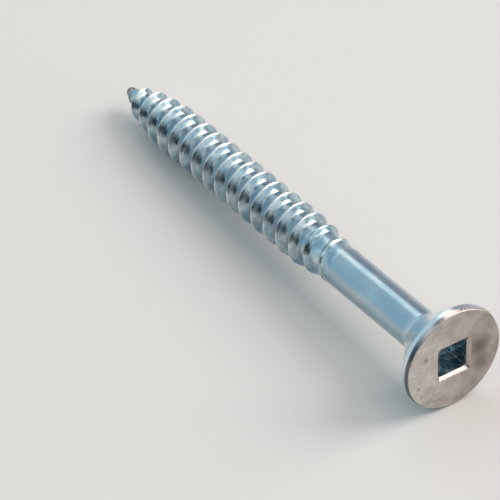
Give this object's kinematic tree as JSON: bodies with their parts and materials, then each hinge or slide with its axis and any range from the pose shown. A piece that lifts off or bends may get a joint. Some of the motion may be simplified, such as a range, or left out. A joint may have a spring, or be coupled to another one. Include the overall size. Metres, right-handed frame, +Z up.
{
  "type": "flat head wood screw",
  "caption": "Countersunk wood screw with a square drive socket, a plain upper shank and a coarse right-hand thread that runs down to a gimlet point.",
  "frame": {"origin": "middle of the lying screw's footprint, on the floor that it lies on", "axes": "+X from the point towards the head, +Z up from the floor, +Y across; the screw's own axis rises 3.31 degrees from +X, because it lies on its head's rim and on a crest of its thread near the point"},
  "size_m": [0.051, 0.0096, 0.0096],
  "materials": {
    "zinc_plated_steel": "bright zinc plating with a cold blue cast, lightly mottled and scuffed on the head"
  },
  "bodies": {
    "root": {"wood_screw": "zinc_plated_steel"}
  },
  "joints": []
}
